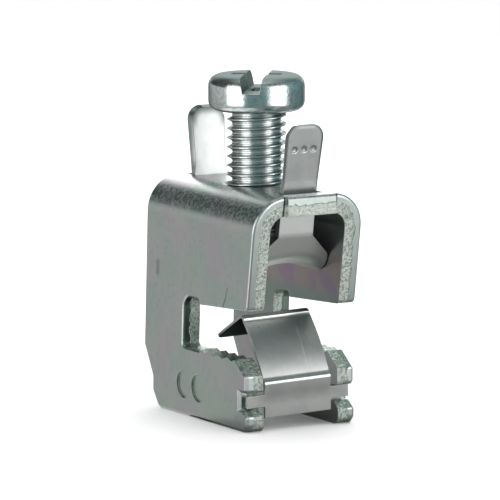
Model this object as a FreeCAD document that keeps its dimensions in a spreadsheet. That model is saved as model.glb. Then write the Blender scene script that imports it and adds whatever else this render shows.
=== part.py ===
import FreeCAD, Part
import math
import os
import Sketcher

# Busbar cable terminal.
# A folded steel frame hangs on the edge of a flat busbar. A screw drives a
# pressure saddle down on the cable, and a sheet clip holds the terminal on
# the bar until the screw is tight.
# The part stands on its two jaws: X runs across the walls, -Y is the open
# front of the mouth, +Z is up, and the origin is at the middle of the foot.

doc = FreeCAD.newDocument("busbar_cable_terminal")

# Driving sizes in millimetres

sizes = doc.addObject("Spreadsheet::Sheet", "sizes")

SIZES = [
    # folded frame
    ("frame_width", 16.8),          # over both walls
    ("frame_depth", 31.0),          # lip of the web to the back of the heel
    ("frame_rise", 31.7),           # foot to the top of the web
    ("sheet_gauge", 2.65),
    ("bend_inside", 2.15),
    ("edge_rollover", 0.4),         # pulled-in edge that shearing leaves outside
    ("lip_width", 7.4),
    ("lip_proud", 0.5),
    ("lip_corner", 0.45),
    ("block_set_back", 2.9),        # foot of the upper block, behind the lip
    ("block_corner", 0.6),
    ("back_lean", 1.1),
    ("heel_rise", 8.3),
    ("heel_step", 2.3),
    ("shin_rise", 4.2),
    ("toe_rise", 2.2),
    ("toe_step", 4.0),
    ("heel_corner", 0.8),
    # mouth for the bar
    ("seat_rise", 9.65),            # tooth line above the foot
    ("mouth_gap", 5.9),             # for a bar 5 mm thick
    ("mouth_flare", 0.85),
    ("notch_set_back", 15.85),
    ("notch_width", 4.0),
    ("notch_lean", 0.4),
    ("notch_over", 0.9),
    ("notch_under", 0.25),
    ("notch_front_corner", 0.55),
    ("notch_back_corner", 1.5),
    ("notch_root", 0.6),
    ("tooth_pitch", 2.37),
    ("tooth_depth", 0.45),
    ("tooth_count", 4),
    ("tooth_margin", 0.5),
    # front of the jaws
    ("hook_set_back", 3.15),
    ("ramp_drop", 2.0),
    ("hook_corner", 0.5),
    ("nose_set_back", 2.95),
    ("nose_radius", 1.2),
    ("nose_rise", 2.2),
    ("ledge_length", 0.75),
    ("ear_slot_set_back", 5.0),
    ("ear_slot_floor", 3.15),
    ("ear_slot_height", 2.15),
    ("dimple_radius", 1.9),
    ("dimple_depth", 0.25),
    ("dimple_rise", 4.3),
    ("dimple_set_back", 15.9),
    ("dimple_spacing", 4.0),
    # screw
    ("screw_set_back", 14.65),      # axis behind the lip
    ("thread_diameter", 7.97),
    ("thread_play", 0.06),
    ("lead_in", 0.45),
    ("thread_pitch", 1.25),
    ("thread_depth", 0.65),
    ("thread_flats", 10),           # sides of each ring that stands for a turn
    ("shank_length", 19.0),
    ("head_diameter", 13.0),
    ("head_height", 4.85),
    ("head_top_radius", 1.0),
    ("head_under_chamfer", 0.6),
    ("slot_floor_width", 2.3),
    ("slot_mouth_width", 3.05),
    ("slot_depth", 2.1),
    ("slot_turn", 37.5),            # degrees, from the Y axis
    ("recess_span", 6.6),
    ("recess_width", 1.8),
    ("recess_depth", 2.9),
    ("recess_taper", 12.0),         # degrees
    ("pin_diameter", 3.0),
    ("pin_play", 0.06),
    ("pin_head_diameter", 4.2),
    ("pin_head_height", 0.55),
    ("seat_play", 0.05),
    # pressure saddle
    ("saddle_offset", 0.05),        # its middle, behind the frame's middle
    ("saddle_drop", 11.35),         # its lowest edge, below the top of the web
    ("strip_gauge", 0.9),
    ("saddle_side_play", 0.15),
    ("plate_arch", 1.35),
    ("plate_bend", 3.0),
    ("crease_rise", 5.3),
    ("slot_web", 3.3),              # web left before and behind the arms
    ("crease_step_in", 1.02),       # of the arms, from the web down
    ("plate_step_in", 2.96),
    ("tab_rise", 9.3),              # above the web
    ("front_tab_flare", 1.85),
    ("back_tab_flare", 1.0),
    ("crease_width", 5.3),
    ("waist_width", 5.2),
    ("tab_width", 5.7),
    ("tab_corner", 2.0),
    ("shoulder_rise", 2.5),
    ("tab_play", 0.12),
    ("travel_down", 5.0),
    ("travel_up", 2.5),
    # retaining clip
    ("clip_gauge", 0.35),
    ("clip_side_play", 0.65),
    ("ear_set_in", 0.55),           # of each ear's end, behind the outer face
    ("ear_height", 1.6),
    ("ear_depth", 3.8),             # its middle plane, behind the lip
    ("ear_centre", 4.225),
    ("clip_foot", 2.35),
    ("clip_fold", 2.3),
    ("clip_peak_run", 5.6),
    ("clip_peak_rise", 10.75),
    ("clip_tail_run", 12.9),
    ("clip_tail_rise", 7.0),
    ("clip_leg_radius", 28.0),
    ("clip_bend", 0.5),
    ("clip_tail_corner", 1.2),
    ("clip_roll", 1.7),             # degrees, askew in its slots
    # how far a cutting shape reaches past the solid it cuts
    ("margin", 3.0),
]

for row, (alias, value) in enumerate(SIZES, start=1):
    sizes.set("A%d" % row, alias)
    sizes.set("B%d" % row, str(value))
    sizes.setAlias("B%d" % row, alias)
doc.recompute()


def size(text):
    """The value of an expression in the names of the sheet."""
    return float(sizes.evalExpression(text))


# Helpers for bodies and sketches

def body_named(name):
    body = doc.addObject("PartDesign::Body", name)
    body.Label = name
    return body


def plane_of(body, role):
    for feature in body.Origin.OriginFeatures:
        if feature.Role == role:
            return feature
    raise ValueError(role)


def sketch_on(body, name, role, lift="0"):
    """A sketch on one origin plane, moved along its normal."""
    sketch = body.newObject("Sketcher::SketchObject", name)
    sketch.AttachmentSupport = [(plane_of(body, role), "")]
    sketch.MapMode = "FlatFace"
    sketch.AttachmentOffset = FreeCAD.Placement()
    sketch.setExpression(".AttachmentOffset.Base.z", with_sheet(lift))
    return sketch


NAMES = sorted((alias for alias, value in SIZES), key=len, reverse=True)


def with_sheet(text):
    """Write each bare size name in an expression as a cell of the sheet."""
    words = []
    word = ""
    for letter in str(text) + " ":
        if letter.isalnum() or letter in "_.":
            word += letter
            continue
        words.append("sizes." + word if word in NAMES else word)
        words.append(letter)
        word = ""
    return "".join(words).strip()


def bind(sketch, kind, places, text):
    """A dimension of a sketch that follows the sheet."""
    value = size(with_sheet(text))
    if kind in ("DistanceX", "DistanceY") and abs(value) < 1e-9:
        axis = -2 if kind == "DistanceX" else -1
        sketch.addConstraint(Sketcher.Constraint("PointOnObject", places[2], places[3], axis))
        return
    index = sketch.addConstraint(Sketcher.Constraint(kind, *places, value))
    sketch.setExpression("Constraints[%d]" % index, with_sheet(text))


def outline(sketch, corners, closed=True):
    """Straight lines through corners whose two places are expressions."""
    points = [FreeCAD.Vector(size(with_sheet(a)), size(with_sheet(b)), 0) for a, b in corners]
    first = sketch.GeometryCount
    count = len(points) if closed else len(points) - 1
    for index in range(count):
        end = points[(index + 1) % len(points)]
        sketch.addGeometry(Part.LineSegment(points[index], end))
    for index in range(count if closed else count - 1):
        following = first + (index + 1) % count
        sketch.addConstraint(Sketcher.Constraint("Coincident", first + index, 2, following, 1))
    for index, (a, b) in enumerate(corners):
        place = (first + index, 1) if index < count else (first + index - 1, 2)
        bind(sketch, "DistanceX", (-1, 1) + place, a)
        bind(sketch, "DistanceY", (-1, 1) + place, b)
    return first


def rectangle(sketch, left, right, low, high):
    return outline(sketch, [(left, low), (right, low), (right, high), (left, high)])


def circle(sketch, across, up, radius):
    centre = FreeCAD.Vector(size(with_sheet(across)), size(with_sheet(up)), 0)
    index = sketch.addGeometry(Part.Circle(centre, FreeCAD.Vector(0, 0, 1), size(with_sheet(radius))))
    bind(sketch, "DistanceX", (-1, 1, index, 3), across)
    bind(sketch, "DistanceY", (-1, 1, index, 3), up)
    bind(sketch, "Radius", (index,), radius)
    return index


def pad(body, sketch, name, length, both_ways=False):
    feature = body.newObject("PartDesign::Pad", name)
    feature.Profile = sketch
    feature.setExpression("Length", with_sheet(length))
    feature.Midplane = both_ways
    return feature


def pocket(body, sketch, name, length, both_ways=False, reversed_way=False):
    """A cut that has to take material away."""
    doc.recompute()
    before = body.Shape.Volume
    feature = body.newObject("PartDesign::Pocket", name)
    feature.Profile = sketch
    feature.setExpression("Length", with_sheet(length))
    feature.Midplane = both_ways
    feature.Reversed = reversed_way
    doc.recompute()
    if body.Shape.Volume > before - 1e-6:
        raise ValueError(name + " cuts nothing")
    return feature


def edges_where(body, test):
    """Names of the edges of a body whose middle and ends pass a test."""
    doc.recompute()
    found = []
    for number, edge in enumerate(body.Tip.Shape.Edges, start=1):
        middle = edge.valueAt((edge.FirstParameter + edge.LastParameter) / 2)
        if test(edge, middle):
            found.append("Edge%d" % number)
    if not found:
        raise ValueError("no edge found on " + body.Name)
    return found


def finish_edges(body, kind, name, radius, edges):
    base = body.Tip
    feature = body.newObject("PartDesign::" + kind, name)
    feature.Base = (base, edges)
    if kind == "Fillet":
        feature.setExpression("Radius", with_sheet(radius))
    else:
        feature.setExpression("Size", with_sheet(radius))
    doc.recompute()
    if "Invalid" in feature.State or feature.Shape.isNull():
        raise ValueError(name + " failed on " + body.Name)
    return feature


def lies_along(edge, direction):
    """True for a straight edge in a direction."""
    if edge.Curve.TypeId != "Part::GeomLine":
        return False
    return edge.Curve.Direction.cross(FreeCAD.Vector(*direction)).Length < 1e-4


def corner_edges(body, corners, direction=(1, 0, 0)):
    """Edges across the walls that run through given places in the side view."""
    places = [(size(with_sheet(a)), size(with_sheet(b))) for a, b in corners]

    def at_a_corner(edge, middle):
        if not lies_along(edge, direction):
            return False
        return any(abs(middle.y - a) < 0.02 and abs(middle.z - b) < 0.02 for a, b in places)

    return edges_where(body, at_a_corner)


# Gap between the walls, and the width and arch of the saddle's plate in it

GAP = "(frame_width - 2*sheet_gauge)"
PLATE_WIDTH = "(" + GAP + " - 2*saddle_side_play)"
ARCH_RADIUS = "(" + PLATE_WIDTH + "/2)^2/(2*plate_arch) + plate_arch/2"

# Half lengths of the saddle at the web, at its creases and at its plate

WAIST = "(frame_depth/2 - slot_web)"
CREASE = "(" + WAIST + " - crease_step_in)"
PLATE = "(" + WAIST + " - plate_step_in)"

# Frame: one sheet folded to an upturned U, both walls blanked to one outline

FRONT = "-frame_depth/2"
BACK = "frame_depth/2"
MOUTH_TOP = "seat_rise + mouth_gap"
NOTCH_FRONT = "-frame_depth/2 + notch_set_back"
SCREW_Y = "-frame_depth/2 + screw_set_back"
HOOK_FRONT = "-frame_depth/2 + hook_set_back"
NOSE_FRONT = "-frame_depth/2 + nose_set_back"
SLOT_BACK = "-frame_depth/2 + ear_slot_set_back"
SLOT_TOP = "ear_slot_floor + ear_slot_height"
TEETH_BACK = NOTCH_FRONT + " - tooth_margin"
TEETH_FRONT = TEETH_BACK + " - tooth_count*tooth_pitch"

BLOCK_FOOT = (FRONT + " + block_set_back", MOUTH_TOP + " + mouth_flare")
HOOK_TOP = (HOOK_FRONT, "seat_rise - ramp_drop")
HOOK_UNDER = (HOOK_FRONT, SLOT_TOP)
LEDGE = (SLOT_BACK + " - ledge_length", "ear_slot_floor")
NOSE_TOP = (NOSE_FRONT, "nose_rise")
NOSE_FOOT = (NOSE_FRONT, "0")
TOE = (BACK + " - toe_step", "0")
SHIN = (BACK + " - heel_step", "toe_rise")
CALF = (BACK + " - heel_step", "shin_rise")
HEEL = (BACK, "heel_rise")

SIDE_VIEW = [
    (FRONT + " + lip_proud", "frame_rise"),
    BLOCK_FOOT,
    (NOTCH_FRONT + " + notch_width/2", MOUTH_TOP),
    (NOTCH_FRONT + " + notch_width/2", "seat_rise"),
    (TEETH_FRONT, "seat_rise"),
    HOOK_TOP,
    HOOK_UNDER,
    (SLOT_BACK, SLOT_TOP),
    (SLOT_BACK, "ear_slot_floor"),
    LEDGE,
    NOSE_TOP,
    NOSE_FOOT,
    TOE,
    SHIN,
    CALF,
    HEEL,
    (BACK + " - back_lean", "frame_rise"),
]


def fold_frame():
    body = body_named("frame")
    section = sketch_on(body, "sheet_section", "XZ_Plane")
    rectangle(section, "-frame_width/2", "frame_width/2", "0", "frame_rise")
    pad(body, section, "folded_block", "2*frame_depth", both_ways=True)
    top = size("sizes.frame_rise")

    def top_edge(edge, middle):
        return lies_along(edge, (0, 1, 0)) and abs(middle.z - top) < 0.01

    outside = finish_edges(body, "Fillet", "outer_bends", "bend_inside + sheet_gauge",
                           edges_where(body, top_edge))
    hollow = sketch_on(body, "hollow_section", "XZ_Plane")
    half_gap = "frame_width/2 - sheet_gauge"
    rectangle(hollow, "-(" + half_gap + ")", half_gap, "-margin", "frame_rise - sheet_gauge")
    pocket(body, hollow, "hollow", "3*frame_depth", both_ways=True)
    under_web = size("sizes.frame_rise - sizes.sheet_gauge")

    def inner_edge(edge, middle):
        return lies_along(edge, (0, 1, 0)) and abs(middle.z - under_web) < 0.01

    finish_edges(body, "Fillet", "inner_bends", "bend_inside", edges_where(body, inner_edge))
    return body


def blank_side_view(body):
    """Both walls are cut to the side view, with the mouth, notch and teeth."""
    side = sketch_on(body, "side_view", "YZ_Plane")
    rectangle(side, "-2*frame_depth", "2*frame_depth", "-margin", "frame_rise + margin")
    outline(side, SIDE_VIEW)
    pocket(body, side, "blanked_outline", "2*frame_width", both_ways=True)

    notch = sketch_on(body, "notch_view", "YZ_Plane")
    notch_top = MOUTH_TOP + " + notch_over"
    notch_back = NOTCH_FRONT + " + notch_width"
    outline(notch, [
        (NOTCH_FRONT, "seat_rise - notch_under"),
        (notch_back + " + notch_lean", "seat_rise - notch_under"),
        (notch_back, notch_top),
        (NOTCH_FRONT, notch_top),
    ])
    pocket(body, notch, "notch", "2*frame_width", both_ways=True)

    groove = sketch_on(body, "tooth_view", "YZ_Plane")
    outline(groove, [
        (TEETH_BACK, "seat_rise"),
        (TEETH_BACK + " - tooth_pitch/2", "seat_rise - tooth_depth"),
        (TEETH_BACK + " - tooth_pitch", "seat_rise"),
        (TEETH_BACK + " - tooth_pitch/2", "seat_rise + tooth_depth"),
    ])
    first = pocket(body, groove, "tooth_groove", "2*frame_width", both_ways=True)
    teeth = body.newObject("PartDesign::LinearPattern", "teeth")
    teeth.Originals = [first]
    teeth.Direction = (groove, ["H_Axis"])
    teeth.Reversed = True
    teeth.setExpression("Length", with_sheet("tooth_pitch*(tooth_count - 1)"))
    teeth.setExpression("Occurrences", with_sheet("tooth_count"))
    body.Tip = teeth
    doc.recompute()


def round_corners(body):
    """Corners of the blanked outline, each with its own radius."""
    notch_top = MOUTH_TOP + " + notch_over"
    notch_back = NOTCH_FRONT + " + notch_width"
    finish_edges(body, "Fillet", "block_corner", "block_corner", corner_edges(body, [BLOCK_FOOT]))
    finish_edges(body, "Fillet", "hook_corners", "hook_corner",
                 corner_edges(body, [HOOK_TOP, HOOK_UNDER]))
    finish_edges(body, "Fillet", "nose", "nose_radius", corner_edges(body, [NOSE_FOOT]))
    finish_edges(body, "Fillet", "nose_top", "hook_corner", corner_edges(body, [NOSE_TOP, LEDGE]))
    finish_edges(body, "Fillet", "heel_corners", "heel_corner",
                 corner_edges(body, [TOE, SHIN, CALF, HEEL]))
    finish_edges(body, "Fillet", "notch_front", "notch_front_corner",
                 corner_edges(body, [(NOTCH_FRONT, notch_top)]))
    finish_edges(body, "Fillet", "notch_back", "notch_back_corner",
                 corner_edges(body, [(notch_back, notch_top)]))
    finish_edges(body, "Fillet", "notch_root", "notch_root",
                 corner_edges(body, [(notch_back + " + notch_lean", "seat_rise - notch_under")]))


def pierce_web(body):
    """The slots for the saddle's tabs, the threaded hole and the proud lip."""
    lip = sketch_on(body, "lip_view", "XY_Plane", lift="frame_rise - sheet_gauge")
    rectangle(lip, "-lip_width/2", "lip_width/2", FRONT, FRONT + " + lip_proud + sheet_gauge/2")
    pad(body, lip, "lip", "sheet_gauge")
    top = size("sizes.frame_rise")
    lip_front = size(with_sheet(FRONT))

    def lip_edge(edge, middle):
        at_front = abs(middle.y - lip_front) < 0.01 and abs(middle.z - top) < 0.01
        return at_front and lies_along(edge, (1, 0, 0))

    finish_edges(body, "Fillet", "lip_corner", "lip_corner", edges_where(body, lip_edge))

    slots = sketch_on(body, "tab_slots_view", "XY_Plane", lift="frame_rise")
    arm_slope = "crease_step_in/(saddle_drop - crease_rise)"
    inner = WAIST + " - strip_gauge - tab_play - (travel_up + sheet_gauge)*" + arm_slope
    half = "waist_width/2 + (tab_width - waist_width)/2 + tab_play"
    for side, flare in (("-", "front_tab_flare"), ("", "back_tab_flare")):
        outer = WAIST + " + tab_play + travel_down*%s/tab_rise" % flare
        reach = ["saddle_offset + " + side + "1*(" + part + ")" for part in (inner, outer)]
        reach.sort(key=lambda text: size(with_sheet(text)))
        rectangle(slots, "-(" + half + ")", half, reach[0], reach[1])
    pocket(body, slots, "tab_slots", "1.5*sheet_gauge")

    hole = sketch_on(body, "screw_hole_view", "XY_Plane", lift="frame_rise")
    circle(hole, "0", SCREW_Y, "thread_diameter/2 + thread_play")
    pocket(body, hole, "screw_hole", "1.5*sheet_gauge")
    radius = size("sizes.thread_diameter/2 + sizes.thread_play")

    def hole_rim(edge, middle):
        if edge.Curve.TypeId != "Part::GeomCircle" or abs(edge.Curve.Radius - radius) > 1e-4:
            return False
        return abs(middle.z - top) < 0.01

    finish_edges(body, "Chamfer", "hole_lead_in", "lead_in", edges_where(body, hole_rim))


def dimple_walls(body):
    """Two shallow round coined marks on the outside of the left jaw, flat at the bottom."""
    for number in (0, 1):
        mark = sketch_on(body, "dimple_view_%d" % number, "YZ_Plane", lift="-frame_width/2")
        place = FRONT + " + dimple_set_back + %d*dimple_spacing" % number
        circle(mark, place, "dimple_rise", "dimple_radius")
        pocket(body, mark, "dimple_%d" % number, "dimple_depth", reversed_way=True)


def roll_over_edges(body):
    """The punch side of the sheet, outside, has its edges pulled in, but for the teeth."""
    half = size("sizes.frame_width/2")
    below = size(with_sheet("frame_rise - bend_inside - sheet_gauge")) - 0.01
    notch_front = size(with_sheet(NOTCH_FRONT))
    notch_back = size(with_sheet(NOTCH_FRONT + " + notch_width + notch_lean"))
    teeth_foot = size(with_sheet("seat_rise - tooth_depth - notch_under"))
    mouth_top = size(with_sheet(MOUTH_TOP))

    def at_notch(middle):
        return notch_front - 0.02 < middle.y < notch_back + 0.02 and middle.z > teeth_foot

    def at_foot(middle):
        return not at_notch(middle) and (middle.y > notch_back or middle.z < teeth_foot)

    def at_block(middle):
        return middle.y < notch_front - 0.02 and middle.z > mouth_top

    rims = (("foot", at_foot, "Chamfer"), ("block", at_block, "Fillet"), ("notch", at_notch, "Fillet"))
    for name, region, kind in rims:

        def outer_rim(edge, middle):
            on_wall = all(abs(abs(vertex.Point.x) - half) < 1e-4 for vertex in edge.Vertexes)
            return on_wall and abs(abs(middle.x) - half) < 1e-4 and middle.z < below and region(middle)

        finish_edges(body, kind, "sheared_" + name, "edge_rollover", edges_where(body, outer_rim))


def make_frame():
    body = fold_frame()
    blank_side_view(body)
    round_corners(body)
    pierce_web(body)
    roll_over_edges(body)
    dimple_walls(body)
    return body


# Clamp screw: cheese head with a driver slot and a cross recess, its end pinned
# through the saddle and spread below it, so that it lifts the saddle again

def ring_thread(body):
    """The thread as rings of flats, one to a turn, that taper up and down from their crests."""
    turns = "floor(shank_length/thread_pitch)"
    crest = sketch_on(body, "thread_crest_view", "XY_Plane", lift="shank_length - thread_pitch/2")
    sides = int(size("sizes.thread_flats"))
    corners = ["(%d*360/thread_flats)" % number for number in range(sides)]
    outline(crest, [("thread_diameter/2*cos" + corner, "thread_diameter/2*sin" + corner)
                    for corner in corners])
    slope = "-atan(thread_depth*cos(180/thread_flats)/(thread_pitch/2))"
    halves = [pad(body, crest, "thread_" + name, "thread_pitch/2") for name in ("over", "under")]
    halves[1].Reversed = True
    for half in halves:
        half.setExpression("TaperAngle", with_sheet(slope))
    doc.recompute()
    thread = body.newObject("PartDesign::LinearPattern", "thread")
    thread.Originals = halves
    thread.Direction = (crest, ["N_Axis"])
    thread.Reversed = True
    thread.setExpression("Length", with_sheet("thread_pitch*(" + turns + " - 1)"))
    thread.setExpression("Occurrences", with_sheet(turns))
    body.Tip = thread
    doc.recompute()


def make_screw():
    body = body_named("clamp_screw")
    half = sketch_on(body, "screw_half", "XZ_Plane")
    plate_under = "-(strip_gauge + seat_play)"
    pin_head_top = plate_under + " - (pin_head_diameter/2)^2/(2*(" + ARCH_RADIUS + ")) - seat_play"
    pin_head_foot = pin_head_top + " - pin_head_height"
    flat = "*(1 - 1/sqrt(2))"
    # the blank stays just inside the rings of the thread
    core = "(thread_diameter/2 - thread_depth)*cos(180/thread_flats) - thread_play"
    head_corners = [
        ("head_diameter/2 - head_under_chamfer", "shank_length"),
        ("head_diameter/2", "shank_length + head_under_chamfer"),
        ("head_diameter/2", "shank_length + head_height - head_top_radius"),
        ("head_diameter/2 - head_top_radius" + flat, "shank_length + head_height - head_top_radius" + flat),
        ("head_diameter/2 - head_top_radius", "shank_length + head_height"),
    ]
    outline(half, [
        ("0", pin_head_foot),
        ("pin_head_diameter/2", pin_head_foot),
        ("pin_head_diameter/2", pin_head_top),
        ("pin_diameter/2", pin_head_top),
        ("pin_diameter/2", "0"),
        (core, "0"),
        (core, "shank_length"),
    ] + head_corners + [("0", "shank_length + head_height")])
    doc.recompute()
    turned = body.newObject("PartDesign::Revolution", "turned_blank")
    turned.Profile = half
    turned.ReferenceAxis = (half, ["V_Axis"])
    turned.Angle = 360
    doc.recompute()
    ring_thread(body)

    driver = sketch_on(body, "driver_slot_view", "XZ_Plane")
    floor = "shank_length + head_height - slot_depth"
    outline(driver, [
        ("-slot_floor_width/2", floor),
        ("slot_floor_width/2", floor),
        ("slot_mouth_width/2", "shank_length + head_height"),
        ("slot_mouth_width/2", "shank_length + head_height + margin"),
        ("-slot_mouth_width/2", "shank_length + head_height + margin"),
        ("-slot_mouth_width/2", "shank_length + head_height"),
    ])
    pocket(body, driver, "driver_slot", "2*head_diameter", both_ways=True)

    cross = sketch_on(body, "cross_recess_view", "XY_Plane", lift="shank_length + head_height")
    arm = "recess_span/2"
    web = "recess_width/2"
    outline(cross, [
        (arm, "-" + web), (arm, web), (web, web), (web, arm), ("-" + web, arm), ("-" + web, web),
        ("-" + arm, web), ("-" + arm, "-" + web), ("-" + web, "-" + web), ("-" + web, "-" + arm),
        (web, "-" + arm), (web, "-" + web),
    ])
    recess = pocket(body, cross, "cross_recess", "recess_depth")
    recess.setExpression("TaperAngle", "-sizes.recess_taper")
    doc.recompute()
    return body


# Pressure saddle: one strip bent to an open U, arched across under the screw


def strip_block(body, inset, width, over):
    """A block with the side view of the strip, arched and rounded below."""
    side = sketch_on(body, body.Name + "_side_view", "YZ_Plane")
    tip = "saddle_drop + tab_rise"
    right = [
        (PLATE + " - " + inset, "0"),
        (CREASE + " - " + inset, "crease_rise"),
        (WAIST + " - " + inset, "saddle_drop"),
    ]
    left = [("-(" + along + ")", up) for along, up in reversed(right)]
    tips = [
        (WAIST + " + back_tab_flare*(1 + %s/tab_rise) - %s" % (over, inset), tip + " + " + over),
        ("-(" + WAIST + " + front_tab_flare*(1 + %s/tab_rise) - %s)" % (over, inset),
         tip + " + " + over),
    ]
    outline(side, right + tips + left)
    pad(body, side, body.Name + "_block", width, both_ways=True)

    arch = sketch_on(body, body.Name + "_arch_view", "XZ_Plane")
    circle(arch, "0", "plate_arch - (" + ARCH_RADIUS + ")", ARCH_RADIUS + " + " + inset)
    pocket(body, arch, body.Name + "_arch", "2*frame_depth", both_ways=True)
    reach = size(with_sheet(PLATE + " - " + inset))
    crown = size(with_sheet("plate_arch + " + inset))

    def bend_line(edge, middle):
        across = abs(edge.Vertexes[0].Point.x - edge.Vertexes[-1].Point.x) > 1
        return across and abs(middle.z - crown) < 0.3 and abs(abs(middle.y) - reach) < 1.5

    finish_edges(body, "Fillet", body.Name + "_bends", "plate_bend - " + inset,
                 edges_where(body, bend_line))


def make_saddle():
    body = body_named("pressure_saddle")
    strip_block(body, "0", PLATE_WIDTH, "0")
    inside = body_named("saddle_inside")
    strip_block(inside, "strip_gauge", PLATE_WIDTH + " + 2*margin", "margin")
    bent = body.newObject("PartDesign::Boolean", "bent_strip")
    bent.setObjects([inside])
    bent.Type = "Cut"
    body.Tip = bent
    doc.recompute()
    tip = "saddle_drop + tab_rise"
    top = size(with_sheet(tip))

    front = sketch_on(body, "strip_front_view", "XZ_Plane")
    slope = "(crease_rise - shoulder_rise)/(" + PLATE_WIDTH + "/2 - crease_width/2)"
    past = PLATE_WIDTH + "/2 + margin"
    rectangle(front, "-frame_width", "frame_width", "-2*margin", tip + " + 2*margin")
    right = [
        (past, "-margin"),
        (past, "shoulder_rise - margin*" + slope),
        ("crease_width/2", "crease_rise"),
        ("waist_width/2", "saddle_drop"),
        ("tab_width/2", tip + " - tab_corner"),
        ("tab_width/2", tip),
    ]
    left = [("-(" + across + ")", up) for across, up in reversed(right)]
    outline(front, right + left)
    pocket(body, front, "strip_outline", "2*frame_depth", both_ways=True)
    half_tab = size("sizes.tab_width/2")

    def tab_tip(edge, middle):
        return abs(abs(middle.x) - half_tab) < 0.01 and middle.z > top - 0.5 and edge.Length < 3

    finish_edges(body, "Fillet", "tab_tips", "tab_corner", edges_where(body, tab_tip))

    hole = sketch_on(body, "pin_hole_view", "XY_Plane", lift="plate_arch + 2*strip_gauge")
    circle(hole, "0", SCREW_Y + " - saddle_offset", "pin_diameter/2 + pin_play")
    pocket(body, hole, "pin_hole", "plate_arch + 4*strip_gauge")
    return body


# Retaining clip: thin spring sheet with two ears in the slots of the jaws

CLIP_WIDTH = "(" + GAP + " - 2*clip_side_play)"


def leg_arc(side, first, second, radius):
    """The bowed leg of the clip, an arc that bulges away from the tail."""
    chord = second - first
    bow = radius - math.sqrt(radius**2 - (chord.Length / 2)**2)
    outward = FreeCAD.Vector(-chord.y, chord.x, 0).normalize()
    if chord.y < 0:
        outward = outward * -1
    index = side.addGeometry(Part.Arc(first, (first + second) * 0.5 + outward * bow, second))
    starts_first = side.getPoint(index, 1).distanceToPoint(first) < 1e-6
    return index, (1, 2) if starts_first else (2, 1)


def make_clip():
    body = body_named("retaining_clip")
    side = sketch_on(body, "clip_side_view", "YZ_Plane")
    gauge = size("sizes.clip_gauge")
    radius = size("sizes.clip_leg_radius")
    foot = FreeCAD.Vector(0, -size("sizes.clip_foot"), 0)
    fold = FreeCAD.Vector(0, size("sizes.clip_fold"), 0)
    peak = FreeCAD.Vector(size("sizes.clip_peak_run"), size("sizes.clip_peak_rise"), 0)
    tail = FreeCAD.Vector(size("sizes.clip_tail_run"), size("sizes.clip_tail_rise"), 0)
    along_tail = (tail - peak).normalize()
    under = FreeCAD.Vector(along_tail.y, -along_tail.x, 0) * gauge
    sideways = FreeCAD.Vector(gauge, 0, 0)
    down = FreeCAD.Vector(0, -gauge, 0)

    front = side.addGeometry(Part.LineSegment(foot, fold))
    leg, leg_ends = leg_arc(side, fold, peak, radius)
    top = side.addGeometry(Part.LineSegment(peak, tail))
    tail_end = side.addGeometry(Part.LineSegment(tail, tail + under))
    below = side.addGeometry(Part.LineSegment(tail + under, peak + down))
    inner_leg, inner_ends = leg_arc(side, peak + down, fold + sideways, radius - gauge)
    back = side.addGeometry(Part.LineSegment(fold + sideways, foot + sideways))
    foot_end = side.addGeometry(Part.LineSegment(foot + sideways, foot))
    ring = [(front, 1, 2), (leg,) + leg_ends, (top, 1, 2), (tail_end, 1, 2),
            (below, 1, 2), (inner_leg,) + inner_ends, (back, 1, 2), (foot_end, 1, 2)]
    for number, (item, start, end) in enumerate(ring):
        following, its_start, its_end = ring[(number + 1) % len(ring)]
        side.addConstraint(Sketcher.Constraint("Coincident", item, end, following, its_start))
    bind(side, "DistanceX", (-1, 1, front, 1), "0")
    bind(side, "DistanceY", (-1, 1, front, 1), "-clip_foot")
    bind(side, "DistanceX", (-1, 1, front, 2), "0")
    bind(side, "DistanceY", (-1, 1, front, 2), "clip_fold")
    bind(side, "DistanceX", (-1, 1, top, 1), "clip_peak_run")
    bind(side, "DistanceY", (-1, 1, top, 1), "clip_peak_rise")
    bind(side, "DistanceX", (-1, 1, top, 2), "clip_tail_run")
    bind(side, "DistanceY", (-1, 1, top, 2), "clip_tail_rise")
    bind(side, "Radius", (leg,), "clip_leg_radius")
    side.addConstraint(Sketcher.Constraint("Coincident", leg, 3, inner_leg, 3))
    bind(side, "Radius", (inner_leg,), "clip_leg_radius - clip_gauge")
    side.addConstraint(Sketcher.Constraint("Perpendicular", top, tail_end))
    side.addConstraint(Sketcher.Constraint("Parallel", top, below))
    side.addConstraint(Sketcher.Constraint("Vertical", back))
    side.addConstraint(Sketcher.Constraint("Horizontal", foot_end))
    bind(side, "Distance", (tail_end,), "clip_gauge")
    bind(side, "Distance", (foot_end,), "clip_gauge")
    pad(body, side, "clip_sheet", CLIP_WIDTH, both_ways=True)
    doc.recompute()
    def apart(middle):
        return min(math.hypot(middle.y - bend.x, middle.z - bend.y) for bend in (fold, peak))

    def inner_bend(edge, middle):
        return lies_along(edge, (1, 0, 0)) and gauge / 2 < apart(middle) < 1.4 * gauge

    def outer_bend(edge, middle):
        return lies_along(edge, (1, 0, 0)) and apart(middle) < 0.01

    finish_edges(body, "Fillet", "inner_bends", "clip_bend", edges_where(body, inner_bend))
    finish_edges(body, "Fillet", "outer_bends", "clip_bend + clip_gauge", edges_where(body, outer_bend))

    ears = sketch_on(body, "ears_view", "XZ_Plane", lift="-clip_gauge/2")
    ear_end = "(frame_width/2 - ear_set_in)"
    rectangle(ears, "-" + ear_end, ear_end, "-ear_height/2", "ear_height/2")
    pad(body, ears, "ears", "clip_gauge")
    doc.recompute()
    end = size("sizes.clip_tail_run")
    half = size(with_sheet(CLIP_WIDTH + "/2"))

    def tail_corner(edge, middle):
        return abs(abs(middle.x) - half) < 0.01 and abs(middle.y - end) < 1 and edge.Length < 2 * gauge

    finish_edges(body, "Fillet", "tail_corners", "clip_tail_corner", edges_where(body, tail_corner))
    return body


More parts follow.
